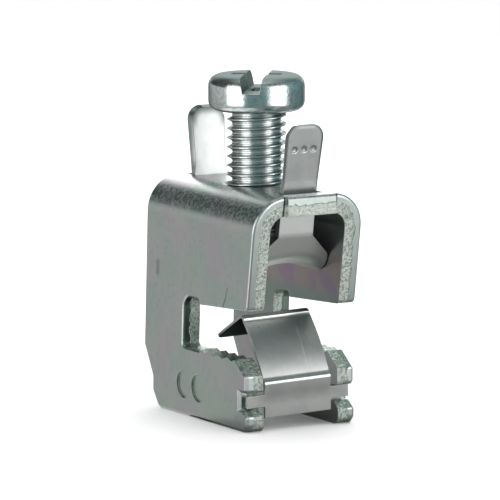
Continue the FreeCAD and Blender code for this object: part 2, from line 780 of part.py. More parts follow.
def place(body, along_y, up, turn=None, axis=None):
    """Put a body where it seats, by the sizes of what it seats on."""
    body.Placement = FreeCAD.Placement()
    if axis is not None:
        body.Placement = FreeCAD.Placement(FreeCAD.Vector(), FreeCAD.Rotation(axis, 1))
        body.setExpression(".Placement.Rotation.Angle", with_sheet(turn))
    body.setExpression(".Placement.Base.y", with_sheet(along_y))
    body.setExpression(".Placement.Base.z", with_sheet(up))


frame = make_frame()
screw = make_screw()
saddle = make_saddle()
clip = make_clip()

saddle_foot = "frame_rise - saddle_drop"
place(saddle, "saddle_offset", saddle_foot)
place(screw, SCREW_Y, saddle_foot + " + plate_arch + strip_gauge + seat_play",
      turn="-slot_turn", axis=FreeCAD.Vector(0, 0, 1))
place(clip, FRONT + " + ear_depth", "ear_centre", turn="-clip_roll", axis=FreeCAD.Vector(0, 1, 0))
doc.recompute()

# Checks and export

for item in doc.Objects:
    if "Invalid" in item.State or "Error" in item.State:
        raise ValueError(item.Name + " failed to build")

os.makedirs("parts", exist_ok=True)
for piece in (frame, screw, saddle, clip):
    shape = piece.Shape
    if shape.isNull() or not shape.isValid() or len(shape.Solids) != 1:
        raise ValueError(piece.Label + " is not one valid solid")
    shape.exportStep("parts/" + piece.Label + ".step")
    box = shape.BoundBox
    print(piece.Label, round(shape.Volume, 2), "mm3",
          "x", round(box.XMin, 2), round(box.XMax, 2),
          "y", round(box.YMin, 2), round(box.YMax, 2),
          "z", round(box.ZMin, 2), round(box.ZMax, 2))
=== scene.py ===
# %% [markdown]
# # Busbar cable terminal
# A folded steel frame hangs on the edge of a busbar. A screw presses a bent
# saddle on the cable, and a thin sprung clip holds the terminal on the bar.

# %% load the solids
import math

import bmesh
import bpy
from mathutils import Matrix, Vector


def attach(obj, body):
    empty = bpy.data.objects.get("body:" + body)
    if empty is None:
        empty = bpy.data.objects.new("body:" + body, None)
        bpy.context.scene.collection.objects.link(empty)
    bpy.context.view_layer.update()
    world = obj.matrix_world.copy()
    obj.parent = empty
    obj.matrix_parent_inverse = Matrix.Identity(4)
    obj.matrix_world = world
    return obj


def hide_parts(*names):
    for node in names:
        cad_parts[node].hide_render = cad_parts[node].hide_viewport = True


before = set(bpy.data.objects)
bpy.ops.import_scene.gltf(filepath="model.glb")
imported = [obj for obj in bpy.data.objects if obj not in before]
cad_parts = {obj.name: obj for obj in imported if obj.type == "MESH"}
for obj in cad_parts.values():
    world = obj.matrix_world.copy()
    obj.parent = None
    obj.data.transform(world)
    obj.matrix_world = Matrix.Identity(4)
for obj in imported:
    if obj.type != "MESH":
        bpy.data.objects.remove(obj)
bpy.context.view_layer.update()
MM = 0.001

# %% [markdown]
# ## Sizes that the pieces share
# Each new piece has to sit on the solids, and some finishes have to know where
# an edge or a bend is. These sizes, in millimetres, are those of the solids.

# %% shared sizes
WEB_TOP = 31.7
WALL_OUT = 8.4
GAUGE = 2.65
BEND_OUT = 4.8
SCREW_Y = -0.85
SADDLE_Y = 0.05
SADDLE_FOOT = 20.35
EAR_Y = -11.7
EAR_Z = 4.225
HEAD_RADIUS = 6.5
HEAD_FOOT = 41.65
HEAD_TOP = 46.5
SLOT_DEPTH = 2.1
CROSS_DEPTH = 2.9
TIP_RISE = 20.65
TAB_HALF = 2.85
TAB_ROUND = 2.0
print("the web is", WEB_TOP, "mm high, the head", HEAD_TOP, "mm")

# %% [markdown]
# ## Camera
# The view is a long lens from the front left, a little above the part. A small
# object seen from far away through a long lens keeps its upright edges nearly
# parallel, as product pictures do. The camera is placed from its angles and
# from the one point of the part that it is aimed beside.

# %% camera
VIEW_TURN = math.radians(30.2)
VIEW_RISE = math.radians(8.12)
VIEW_ROLL = math.radians(-0.06)
DISTANCE = 714.2
FOCAL_PIXELS = 5314.0
IMAGE = 500.0
SENSOR = 36.0
SIGHT = 100.0
AIM = Vector((0.0, SCREW_Y, WEB_TOP))
AIM_ASIDE = 0.900
AIM_BELOW = 8.98

look = Vector((math.sin(VIEW_TURN) * math.cos(VIEW_RISE),
               math.cos(VIEW_TURN) * math.cos(VIEW_RISE),
               -math.sin(VIEW_RISE)))
right = Vector((math.cos(VIEW_TURN), -math.sin(VIEW_TURN), 0.0))
up = right.cross(look)
eye = AIM - look * DISTANCE - right * AIM_ASIDE - up * AIM_BELOW
turn = Matrix((right, up, -look)).transposed().to_4x4()
camera_data = bpy.data.cameras.new("camera")
camera_data.sensor_width = SENSOR
camera_data.lens = FOCAL_PIXELS / IMAGE * SENSOR
camera_data.clip_end = SIGHT
camera = bpy.data.objects.new("camera", camera_data)
camera.matrix_world = Matrix.Translation(eye * MM) @ turn @ Matrix.Rotation(VIEW_ROLL, 4, "Z")
bpy.context.scene.collection.objects.link(camera)
bpy.context.scene.camera = camera
bpy.context.scene.view_settings.view_transform = "Standard"
print("camera at", [round(v, 4) for v in camera.location], "lens", round(camera_data.lens, 1))

# %% [markdown]
# ## Helpers for finishes
# A finish is a small graph of nodes. It could be joined by hand in the editor,
# but a script is easier to read and to change. These helpers add one node, set
# its plain inputs and join the rest, so that each finish below reads as a
# recipe. A share is a number from 0 to 1: how much of something a place has.

# %% helpers for nodes
def add(tree, kind, inputs=None, **settings):
    """One node. An input is a value or another node's output."""
    made = tree.nodes.new(kind)
    for name, value in settings.items():
        setattr(made, name, value)
    for name, value in (inputs or {}).items():
        if isinstance(value, bpy.types.NodeSocket):
            tree.links.new(value, made.inputs[name])
        else:
            made.inputs[name].default_value = value
    return made


def maths(tree, operation, *values):
    return add(tree, "ShaderNodeMath", dict(enumerate(values)), operation=operation).outputs[0]


def plus(tree, first, second):
    return maths(tree, "ADD", first, second)


def less(tree, first, second):
    return maths(tree, "SUBTRACT", first, second)


def times(tree, first, *others):
    """A product. Shares multiplied together leave the places that all of them have."""
    for other in others:
        first = maths(tree, "MULTIPLY", first, other)
    return first


def above_zero(tree, value):
    return maths(tree, "MAXIMUM", value, 0.0)


def length_of(tree, first, second):
    """The long side of a right triangle with these two sides."""
    squares = plus(tree, times(tree, first, first), times(tree, second, second))
    return maths(tree, "SQRT", squares)


def fade(tree, none_at, full_at, value):
    """A share that is 0 up to one value and 1 from the other on, smooth between."""
    limits = {"Value": value, "From Min": none_at, "From Max": full_at}
    made = add(tree, "ShaderNodeMapRange", limits, interpolation_type="SMOOTHSTEP")
    return made.outputs["Result"]


def between(tree, low, low_full, high_full, high, value):
    """A share that is 1 from low_full to high_full, and 0 outside low and high."""
    return times(tree, fade(tree, low, low_full, value), fade(tree, high, high_full, value))


print("node helpers ready")

# %% [markdown]
# The next helpers work on colours and on places. A colour is mixed with the
# one below it by a share, as a thin layer would be. The place on a piece comes
# from its own coordinates, so a mark stays on the piece when the piece moves.

# %% helpers for colours and places
def opaque(colour):
    """A colour with the fourth number that a socket wants. An output stays as it is."""
    return (*colour, 1.0) if isinstance(colour, tuple) else colour


def blend_colours(tree, share, first, second):
    """The mix node has inputs for each kind of value: 6 and 7 are the colours."""
    inputs = {0: share, 6: opaque(first), 7: opaque(second)}
    return add(tree, "ShaderNodeMix", inputs, data_type="RGBA").outputs[2]


def blend_numbers(tree, share, first, second):
    """The mix node's inputs 2 and 3 are the plain numbers."""
    return add(tree, "ShaderNodeMix", {0: share, 2: first, 3: second}).outputs[0]


def layered(tree, colour, layers):
    """A colour under thin layers. Each layer is a share, a strength and a colour."""
    for share, strength, shade in layers:
        colour = blend_colours(tree, times(tree, share, strength), colour, shade)
    return colour


def speckle(tree, place, scale, detail, rough=0.5, stretch=None):
    """Cloudy noise on the piece's own coordinates, with scale in marks per millimetre."""
    if stretch is not None:
        place = add(tree, "ShaderNodeMapping", {"Vector": place, "Scale": stretch}).outputs[0]
    made = add(tree, "ShaderNodeTexNoise",
               {"Vector": place, "Scale": scale / MM, "Detail": detail, "Roughness": rough})
    return made.outputs["Fac"]


def own_place(tree):
    return add(tree, "ShaderNodeTexCoord").outputs["Object"]


def in_millimetres(tree, place):
    """The place's three numbers, X across, Y along and Z up, in millimetres."""
    scaled = add(tree, "ShaderNodeVectorMath", {"Vector": place, "Scale": 1 / MM},
                 operation="SCALE").outputs[0]
    return add(tree, "ShaderNodeSeparateXYZ", {"Vector": scaled}).outputs


def surface_facing(tree):
    """The three numbers of the way that the surface faces."""
    normal = add(tree, "ShaderNodeNewGeometry").outputs["Normal"]
    return add(tree, "ShaderNodeSeparateXYZ", {"Vector": normal}).outputs


def scratch(tree, first, second, start, end, width):
    """A share that is 1 on a line between two places and 0 a width beside it."""
    run = Vector(end) - Vector(start)
    way = run.normalized()
    from_first = less(tree, first, start[0])
    from_second = less(tree, second, start[1])
    along = plus(tree, times(tree, from_first, way.x), times(tree, from_second, way.y))
    aside = less(tree, times(tree, from_first, way.y), times(tree, from_second, way.x))
    half = run.length / 2
    past_end = above_zero(tree, less(tree, maths(tree, "ABSOLUTE", less(tree, along, half)), half))
    return fade(tree, width, 0.0, length_of(tree, past_end, aside))


print("colour and place helpers ready")

# %% [markdown]
# A finish starts as a bare metal. Plating leaves no edge quite sharp, so a
# bevel node turns the normal round every edge: cutting real bevels into the
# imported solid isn't wanted, and at this width the eye can't tell them apart.

# %% helpers for metal
EDGE_SAMPLES = 6


def blank_metal(name):
    material = bpy.data.materials.new(name)
    material.use_nodes = True
    tree = material.node_tree
    tree.nodes.clear()
    shader = add(tree, "ShaderNodeBsdfPrincipled", {"Metallic": 1.0})
    add(tree, "ShaderNodeOutputMaterial", {"Surface": shader.outputs[0]})
    return material, tree, shader


def soft_edges(tree, radius):
    radius *= MM
    return add(tree, "ShaderNodeBevel", {"Radius": radius}, samples=EDGE_SAMPLES).outputs[0]


def bumps(tree, height, distance, strength, before):
    """Small heights on a normal, with the distance in millimetres."""
    inputs = {"Height": height, "Distance": distance * MM, "Strength": strength, "Normal": before}
    return add(tree, "ShaderNodeBump", inputs).outputs[0]


def fill(tree, shader, colour, rough, skin):
    for socket, value in (("Base Color", colour), ("Roughness", rough), ("Normal", skin)):
        tree.links.new(value, shader.inputs[socket])


print("metal helpers ready")

# %% [markdown]
# ## Zinc plate on the folded sheet
# The frame is blanked from sheet, folded and then zinc plated. Its rolled faces
# are dull and mottled, with a faint tint from the passivation. Its cut edges
# are brighter, smooth where the punch sheared them and torn below that. The
# edges could be a second material on their own faces, but the solid's mesh
# stays as it is, so one finish tells an edge from a face: on a face the normal
# points through the sheet. These are its colours and the places they lie at.

# %% zinc plate, colours and places
ROLLED_GREY = (0.58, 0.59, 0.58)
ROLLED_GREEN = (0.51, 0.58, 0.56)
ROLLED_GRAIN = (0.42, 0.50, 0.51)
PINK_TINT = (0.62, 0.51, 0.58)
GREEN_TINT = (0.47, 0.60, 0.51)
BROWN_FILM = (0.50, 0.40, 0.37)
PURPLE_FILM = (0.44, 0.29, 0.44)
TEAL_FILM = (0.26, 0.38, 0.34)
BEND_REFLECTION_DARK = (0.12, 0.20, 0.19)
STAIN = (0.20, 0.25, 0.25)
INSIDE_SHADE = (0.20, 0.22, 0.22)
SCUFF = (0.14, 0.16, 0.15)
TORN_LIGHT = (0.94, 0.97, 0.90)
TORN_PIT = (0.40, 0.47, 0.41)
SHEARED = (0.64, 0.70, 0.67)
SHEARED_LIP = (0.38, 0.42, 0.40)
NOTCH_SHADE = (0.12, 0.18, 0.15)
MOUTH_SHADE = (0.20, 0.29, 0.23)
GAP_SHADOW = (0.02, 0.025, 0.025)

FACE_TO_EDGE = (0.75, 0.35)
SHEARED_DEPTH = 1.2
TEAR_BLUR = 0.1
TEAR_WANDER = 1.1
FILM_RISES = (9, 15, 21, 25)
TEAL_RISES = (18.6, 16.4)
BEND_SLOPES = (0.16, 0.42, 0.66, 0.86)
WEB_SLOPES = (0.84, 0.96)
STAIN_REACH = (9, 2)
FRONT_FACING = (-0.4, -0.7)
LEFT_FACING = (-0.6, -0.8)
FLOOR_FACING = (0.3, 0.6)
NOTCH_REACH = (-6, -2)
MOUTH_RISES = (17, 16)
LIP_SIDES = (-3.95, 4.08)
LIP_FLOOR = 28.9
GAP_SHADOW_HALF = (0.16, 0.07)
# Each scuff's two ends as Y and Z, its width and its strength.
WALL_SCUFFS = (((11.4, 20.1), (11.4, 18.7), 0.75, 0.5),
               ((-7.5, 18.9), (-6.9, 17.3), 0.28, 0.6),
               ((-6.9, 17.3), (-6.0, 15.8), 0.26, 0.75))
print("the left wall has", len(WALL_SCUFFS), "scuffs")

# %% [markdown]
# The folded section is two walls, two round bends and a web. From any place in
# it, the way to the middle line of the bend says how deep the place lies in the
# sheet. The rolled faces are then built up in layers: mottling, grain, the pink
# and green tint, the film of colours low on the inner walls, a painted dark
# reflection in specks on the bends, the stains on the web, and painted shade on
# the inner faces.

# %% zinc plate, section and rolled faces
def sheet_section(tree, here, facing):
    """How deep a place is in the sheet, and the share that is cut edge."""
    past_side = above_zero(tree, less(tree, maths(tree, "ABSOLUTE", here["X"]),
                                      WALL_OUT - BEND_OUT))
    past_top = above_zero(tree, less(tree, here["Z"], WEB_TOP - BEND_OUT))
    reach = length_of(tree, past_side, past_top)
    through = [times(tree, maths(tree, "ABSOLUTE", facing[way]), maths(tree, "DIVIDE", past, reach))
               for way, past in (("X", past_side), ("Z", past_top))]
    return less(tree, BEND_OUT, reach), fade(tree, *FACE_TO_EDGE, plus(tree, *through))


def rolled_face(tree, place, here, facing, outside, on_bend, grain, fleck):
    inside = less(tree, 1.0, outside)
    cloud = speckle(tree, place, 0.16, 3.0, 0.6)
    tint = speckle(tree, place, 0.13, 1.0, 0.4)
    film_cloud = speckle(tree, place, 0.22, 1.5, 0.45)
    film = blend_colours(tree, fade(tree, 0.40, 0.58, film_cloud), BROWN_FILM, PURPLE_FILM)
    film = layered(tree, film, [(fade(tree, *TEAL_RISES, here["Z"]), 0.85, TEAL_FILM)])
    filmed = times(tree, inside, between(tree, *FILM_RISES, here["Z"]))
    # Painted dark reflection on the bends, broken into specks.
    bend_reflection = times(tree, on_bend, fade(tree, 0.42, 0.57, fleck))
    stained = times(tree, outside, fade(tree, *WEB_SLOPES, facing["Z"]),
                    fade(tree, 0.42, 0.58, fleck), fade(tree, *STAIN_REACH, here["Y"]))
    left_outside = times(tree, fade(tree, *LEFT_FACING, facing["X"]), outside)
    layers = [(fade(tree, 0.35, 0.68, cloud), 1.0, ROLLED_GREEN),
              (fade(tree, 0.50, 0.72, grain), 0.7, ROLLED_GRAIN),
              (fade(tree, 0.50, 0.66, tint), 0.5, PINK_TINT),
              (fade(tree, 0.48, 0.32, tint), 0.5, GREEN_TINT),
              (filmed, 0.8, film), (bend_reflection, 0.85, BEND_REFLECTION_DARK), (stained, 0.7, STAIN),
              (inside, 0.22, INSIDE_SHADE)]
    for start, end, width, strength in WALL_SCUFFS:
        scuffed = scratch(tree, here["Y"], here["Z"], start, end, width)
        layers.append((times(tree, scuffed, left_outside), strength, SCUFF))
    return layered(tree, ROLLED_GREY, layers)


print("rolled faces ready")

# %% [markdown]
# A punch shears the first part of a cut and tears the rest, so a cut edge has a
# smooth band beside the outer face and a bright, pitted one below it. The line
# between them wanders. The tongue of the web at the front, the lip, is cut on
# both sides, and a thin line of painted shadow marks the gap there. Edges deep in
# the notch and the mouth are darker, because little of the room reaches them.

# %% zinc plate, cut edges and the whole finish
def cut_edge(tree, here, facing, torn, at_front, chips):
    across = maths(tree, "ABSOLUTE", here["X"])
    on_lip = times(tree, at_front, fade(tree, LIP_SIDES[1], LIP_SIDES[1] - 0.2, across))
    pitted = times(tree, fade(tree, 0.44, 0.62, chips), less(tree, 1.0, times(tree, on_lip, 0.65)))
    notch_back = times(tree, fade(tree, *FRONT_FACING, facing["Y"]),
                       fade(tree, *NOTCH_REACH, here["Y"]))
    mouth_floor = times(tree, fade(tree, *FLOOR_FACING, facing["Z"]),
                        fade(tree, *MOUTH_RISES, here["Z"]), fade(tree, 0.3, 0.6, chips))
    smooth_band = layered(tree, SHEARED, [(on_lip, 1.0, SHEARED_LIP),
                                          (notch_back, 0.85, NOTCH_SHADE)])
    torn_band = blend_colours(tree, pitted, TORN_LIGHT, TORN_PIT)
    return layered(tree, smooth_band, [(torn, 1.0, torn_band), (mouth_floor, 0.8, MOUTH_SHADE)])


def zinc_plate():
    material, tree, shader = blank_metal("zinc_plate")
    place = own_place(tree)
    here = in_millimetres(tree, place)
    facing = surface_facing(tree)
    depth, edge = sheet_section(tree, here, facing)
    wander = times(tree, less(tree, speckle(tree, place, 1.4, 3.0), 0.5), TEAR_WANDER)
    torn = fade(tree, SHEARED_DEPTH - TEAR_BLUR, SHEARED_DEPTH + TEAR_BLUR,
                plus(tree, depth, wander))
    outside = fade(tree, GAUGE * 0.6, GAUGE * 0.4, depth)
    on_bend = times(tree, outside, between(tree, *BEND_SLOPES, facing["Z"]))
    at_front = times(tree, fade(tree, *FRONT_FACING, facing["Y"]),
                     fade(tree, LIP_FLOOR - 0.1, LIP_FLOOR, here["Z"]))
    grain = speckle(tree, place, 1.6, 4.0, 0.6)
    fleck = speckle(tree, place, 1.9, 5.0, 0.72)
    chips = speckle(tree, place, 2.8, 4.0, 0.7)

    face = rolled_face(tree, place, here, facing, outside, on_bend, grain, fleck)
    colour = blend_colours(tree, edge, face, cut_edge(tree, here, facing, torn, at_front, chips))
    # A thin line of painted shadow at each side of the lip, where the gap is.
    for side in LIP_SIDES:
        off = maths(tree, "ABSOLUTE", less(tree, here["X"], side))
        gap_shadowed = times(tree, at_front, fade(tree, *GAP_SHADOW_HALF, off))
        colour = layered(tree, colour, [(gap_shadowed, 0.92, GAP_SHADOW)])

    torn_edge = times(tree, edge, torn)
    dull = plus(tree, plus(tree, 0.25, times(tree, grain, 0.18)), times(tree, on_bend, 0.12))
    skin = bumps(tree, grain, 0.02, 0.5, soft_edges(tree, 0.12))
    skin = bumps(tree, times(tree, on_bend, fleck), 0.05, 0.5, skin)
    skin = bumps(tree, times(tree, torn_edge, chips), 0.22, 1.0, skin)
    fill(tree, shader, colour, blend_numbers(tree, torn_edge, dull, 0.34), skin)
    return material


zinc = zinc_plate()
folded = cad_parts["frame"].data
folded.materials.clear()
folded.materials.append(zinc)
print("made", zinc.name, "of", len(zinc.node_tree.nodes), "nodes for the frame's",
      len(folded.polygons), "faces")

# %% [markdown]
# ## Bright and satin steel
# The screw, the saddle and the clip are smaller pieces with a smoother skin.
# One recipe serves all three: a colour that drifts to a second one, a roughness
# and a fine grain, which can be stretched the way the strip was rolled. Some
# places differ, so a second recipe changes the colour and the roughness where a
# function says so. Metal also turns white at steep angles, and a tint dims that.

# %% helpers for steel
WHITE = (1.0, 1.0, 1.0)


def steel(name, light, dark, dull, drift, cloud_scale, grain_scale, grain_depth,
          stretch=None, glance=WHITE):
    """Drift is how far the roughness follows the grain. Glance tints steep angles."""
    material, tree, shader = blank_metal(name)
    shader.inputs["Specular Tint"].default_value = opaque(glance)
    place = own_place(tree)
    cloud = speckle(tree, place, cloud_scale, 4.0, 0.62)
    grain = speckle(tree, place, grain_scale, 3.0, 0.55, stretch)
    colour = blend_colours(tree, fade(tree, 0.40, 0.64, cloud), light, dark)
    rough = plus(tree, dull, times(tree, less(tree, grain, 0.5), drift))
    fill(tree, shader, colour, rough, bumps(tree, grain, grain_depth, 1.0, soft_edges(tree, 0.08)))
    return material


def shader_of(material):
    return material.node_tree.nodes["Principled BSDF"]


def changed_where(material, where, shade, rough, strength=1.0):
    """Another colour and roughness at the places that the function picks."""
    tree = material.node_tree
    share = times(tree, where(tree, in_millimetres(tree, own_place(tree))), strength)
    inputs = shader_of(material).inputs
    for name, blend, value in (("Base Color", blend_colours, shade),
                               ("Roughness", blend_numbers, rough)):
        before = inputs[name].links[0].from_socket
        tree.links.new(blend(tree, share, before, value), inputs[name])


print("steel helpers ready")

# %% [markdown]
# The screw is bright zinc over steel. Its head is polished by the plating drum,
# its thread is rolled, and rolling leaves the steep flanks duller than the
# crests and roots; their colour is darkened too, a painted dark reflection.
# The top, the slot and the cross are pressed and duller, and their colour is
# darkened: painted dark reflection on the top, painted shade in the slot and
# the cross.

# %% bright screw
THREAD_RISES = (HEAD_FOOT + 0.1, HEAD_FOOT - 0.1)
FLANK_REACHES = (3.48, 3.62, 3.84, 3.93)
DARK_TOP_REACHES = (HEAD_RADIUS - 0.05, HEAD_RADIUS - 0.55)
DARK_TOP_RISES = (HEAD_TOP - CROSS_DEPTH - 0.3, HEAD_TOP - CROSS_DEPTH - 0.1)


def on_thread(tree, here):
    return fade(tree, *THREAD_RISES, here["Z"])


def from_screw_axis(tree, here):
    return length_of(tree, here["X"], less(tree, here["Y"], SCREW_Y))


# The thread's flanks get a painted dark reflection.
def flanks_painted_dark(tree, here):
    return times(tree, on_thread(tree, here),
                 between(tree, *FLANK_REACHES, from_screw_axis(tree, here)))


# Painted dark reflection on the head's top and painted shade in the slot and the cross.
def top_painted_dark(tree, here):
    return times(tree, fade(tree, *DARK_TOP_REACHES, from_screw_axis(tree, here)),
                 fade(tree, *DARK_TOP_RISES, here["Z"]))


bright_screw = steel("bright_screw", (0.80, 0.81, 0.80), (0.54, 0.65, 0.66),
                     0.20, 0.12, 1.9, 3.5, 0.016, glance=(0.28, 0.31, 0.30))
changed_where(bright_screw, on_thread, (0.78, 0.81, 0.80), 0.26)
changed_where(bright_screw, flanks_painted_dark, (0.38, 0.42, 0.41), 0.30)
changed_where(bright_screw, top_painted_dark, (0.34, 0.39, 0.38), 0.40)
print("made", bright_screw.name)

# %% [markdown]
# The saddle is a satin strip with its grain along the arms. The rims of the
# upright tabs are painted darker than their faces, a painted shade that is
# broader round the top of the back tab. Below the web it stands in the walls'
# shade, and is made lighter.

# %% satin strip
RIM_REACHES = (TAB_ROUND - 0.5, TAB_ROUND - 0.15)
BACK_RIM_REACHES = (TAB_ROUND - 1.5, TAB_ROUND - 0.3)
BACK_RIM_RISES = (-1.5, 0.5)
UNDER_WEB_RISES = (31.5, 30.5)


# Painted shade on the tabs' rims, broader round the top of the back tab.
def tab_rims_painted_shade(tree, here):
    round_middle = SADDLE_FOOT + TIP_RISE - TAB_ROUND
    across = maths(tree, "ABSOLUTE", here["X"])
    past_side = above_zero(tree, less(tree, across, TAB_HALF - TAB_ROUND))
    above_middle = less(tree, here["Z"], round_middle)
    out = length_of(tree, past_side, above_zero(tree, above_middle))
    back_rim = times(tree, fade(tree, *BACK_RIM_REACHES, out), fade(tree, 0.0, 1.0, here["Y"]),
                     fade(tree, *BACK_RIM_RISES, above_middle))
    rim = maths(tree, "MAXIMUM", fade(tree, *RIM_REACHES, out), back_rim)
    return times(tree, rim, fade(tree, WEB_TOP, WEB_TOP + 1, here["Z"]))


def under_web(tree, here):
    return fade(tree, *UNDER_WEB_RISES, here["Z"])


satin_strip = steel("satin_strip", (0.60, 0.61, 0.60), (0.54, 0.56, 0.55),
                    0.34, 0.12, 0.35, 2.0, 0.012, stretch=(2.0, 2.0, 0.25))
changed_where(satin_strip, tab_rims_painted_shade, (0.18, 0.21, 0.20), 0.45, strength=0.9)
changed_where(satin_strip, under_web, (0.86, 0.87, 0.85), 0.4, strength=0.8)
print("made", satin_strip.name)

# %% [markdown]
# The clip is spring sheet, smooth and hard, with one thin light scratch down
# its front. Its underside gets little light and mirrors the dark of the mouth.

# %% spring sheet
CLIP_SCRATCH = ((1.97, 13.1), (1.86, 7.5), 0.07)


def scratched(tree, here):
    return scratch(tree, here["X"], here["Z"], *CLIP_SCRATCH)


def underside(tree, here):
    return fade(tree, 0.0, -0.3, surface_facing(tree)["Z"])


spring_sheet = steel("spring_sheet", (0.64, 0.65, 0.63), (0.58, 0.60, 0.59),
                     0.28, 0.03, 0.4, 1.2, 0.001, stretch=(1.6, 0.5, 0.5),
                     glance=(0.22, 0.23, 0.23))
changed_where(spring_sheet, scratched, (0.75, 0.77, 0.76), 0.5)
changed_where(spring_sheet, underside, (0.15, 0.16, 0.16), 0.4)
print("made", spring_sheet.name)

# %% [markdown]
# ## Helpers for shapes
# Every new piece is drawn in millimetres in a bmesh, is scaled to metres once,
# and then takes the place of one solid: it rides the same body and the solid is
# hidden. A hole or a slot is cut by a boolean that is worked out at once, so the
# cutting shape doesn't stay in the scene.

# %% helpers for shapes
SHARP_ANGLE = 40


def arc_points(middle, radius, start, end, count):
    """Points on an arc, with angles in degrees, the first and last included."""
    angles = [math.radians(start + (end - start) * step / count) for step in range(count + 1)]
    return [Vector((middle[0] + radius * math.cos(angle), middle[1] + radius * math.sin(angle)))
            for angle in angles]


def mesh_of(name, recipe, unit=MM):
    """The mesh that a recipe draws, in millimetres unless a unit is given."""
    mesh = bpy.data.meshes.new(name)
    work = bmesh.new()
    recipe(work)
    bmesh.ops.scale(work, vec=(unit, unit, unit), verts=work.verts)
    work.to_mesh(mesh)
    work.free()
    return mesh


def sweep(work, places, angle, steps, middle=(0, 0, 0), **settings):
    """A line through the places, spun round an upright axis."""
    spots = [work.verts.new(place) for place in places]
    edges = [work.edges.new(pair) for pair in zip(spots, spots[1:])]
    bmesh.ops.spin(work, geom=spots + edges, cent=middle, axis=(0, 0, 1), angle=angle,
                   steps=steps, **settings)


def in_scene(name, data):
    piece = bpy.data.objects.new(name, data)
    bpy.context.scene.collection.objects.link(piece)
    return piece


def carve(mesh, cutter):
    """The mesh after one exact boolean cut with another mesh."""
    blank = in_scene("blank", mesh)
    tool = in_scene("tool", cutter)
    cut = blank.modifiers.new("cut", "BOOLEAN")
    cut.operation = "DIFFERENCE"
    cut.solver = "EXACT"
    cut.object = tool
    seen_by = bpy.context.evaluated_depsgraph_get()
    result = bpy.data.meshes.new_from_object(blank.evaluated_get(seen_by))
    for leftover in (blank, tool):
        bpy.data.objects.remove(leftover)
    return result


def finished(name, mesh, finish, body, solid):
    """The piece takes a solid's place, smooth but for its sharp edges."""
    mesh.name = name
    mesh.materials.clear()
    mesh.materials.append(finish)
    mesh.shade_smooth()
    mesh.set_sharp_from_angle(angle=math.radians(SHARP_ANGLE))
    piece = in_scene(name, mesh)
    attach(piece, body)
    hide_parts(solid)
    size = [round(side / MM, 2) for side in piece.dimensions]
    print(name, "has", len(mesh.polygons), "faces and is", size, "mm")


print("edges over", SHARP_ANGLE, "degrees stay sharp")

# %% [markdown]
# ## Clamp screw
# The real screw is upset and thread-rolled from wire: a cheese head with a slot
# and a shallow cross, a rolled M8 thread, and a pin that is spread under the
# saddle. The thread could be a texture, but its outline shows on both sides,
# so one pitch of its section is swept up a helix. The spin tool lifts it by a
# little at each step, and the turns are then joined where they meet.

# %% thread
THREAD_RADIUS = 3.985
THREAD_ROOT = 3.26
PITCH = 1.25
CREST_FLAT = 0.12
ROOT_ROUNDNESS = 2.0
GROOVE_STEPS = 5
CREST_RISE = 20.40
THREAD_FOOT = 22.65
THREAD_TOP = 41.9
TIP_CHAMFER = 0.8
THREAD_STEPS = 80
THREAD_TURNS = 18


def section_points():
    """One pitch of the thread, from crest to crest: steep at the crests, round at the root."""
    points = [(THREAD_RADIUS, -CREST_FLAT / 2)]
    groove = THREAD_RADIUS - THREAD_ROOT
    half = (PITCH - CREST_FLAT) / 2
    for step in range(-GROOVE_STEPS, GROOVE_STEPS + 1):
        share = step / GROOVE_STEPS
        reach = THREAD_ROOT + groove * abs(share) ** ROOT_ROUNDNESS
        points.append((reach, PITCH / 2 + half * share))
    return points


def trim_level(work, height, up_way):
    """What lies past a height is cut away, and the cut is closed."""
    everything = work.verts[:] + work.edges[:] + work.faces[:]
    cut = bmesh.ops.bisect_plane(work, geom=everything, dist=1e-5, plane_co=(0, 0, height),
                                 plane_no=(0, 0, up_way), clear_outer=True)
    rim = [part for part in cut["geom_cut"] if isinstance(part, bmesh.types.BMEdge)]
    bmesh.ops.contextual_create(work, geom=rim)


def roll_thread(work):
    seen_left = -right
    section = [(seen_left.x * reach, seen_left.y * reach, CREST_RISE + rise)
               for reach, rise in section_points()]
    sweep(work, section, math.tau * THREAD_TURNS, THREAD_STEPS * THREAD_TURNS,
          dvec=(0, 0, PITCH / THREAD_STEPS))
    bmesh.ops.remove_doubles(work, verts=work.verts, dist=0.002)
    trim_level(work, THREAD_FOOT, -1)
    trim_level(work, THREAD_TOP, 1)
    for vert in work.verts:
        widest = THREAD_RADIUS - TIP_CHAMFER + vert.co.z - THREAD_FOOT
        reach = math.hypot(vert.co.x, vert.co.y)
        if reach > widest:
            vert.co.x *= widest / reach
            vert.co.y *= widest / reach
    bmesh.ops.translate(work, vec=(0, SCREW_Y, 0), verts=work.verts)
    bmesh.ops.recalc_face_normals(work, faces=work.faces)


thread_mesh = mesh_of("thread", roll_thread)
print("thread", len(thread_mesh.polygons), "faces")

# %% [markdown]
# The head and the pin are turned shapes, so half of each section is drawn and
# spun. The slot is wider at its mouth than at its floor, as a cold-formed slot
# is, and the cross narrows on its way down. Both are cut in the head only.

# %% head and pin
UNDER_ROUND = 1.3
TOP_ROUND = 1.6
HEAD_STEPS = 128
SLOT_FLOOR = 2.3
SLOT_MOUTH = 3.05
SLOT_ABOVE = 1.0
SLOT_TURN = math.radians(-37.5)
CROSS_SPAN = 6.6
CROSS_WIDTH = 1.8
CROSS_TAPER = 0.72
CROSS_TAPER_RATE = 1.6
CROSS_ABOVE = 0.6
PIN_RADIUS = 1.5
PIN_HEAD_RADIUS = 2.1
PIN_HEAD_FOOT = 20.92
PIN_HEAD_TOP = 21.47
PIN_EDGE_IN = 0.15
PIN_EDGE_UP = 0.12
PIN_IN_THREAD = 0.2
PIN_STEPS = 48


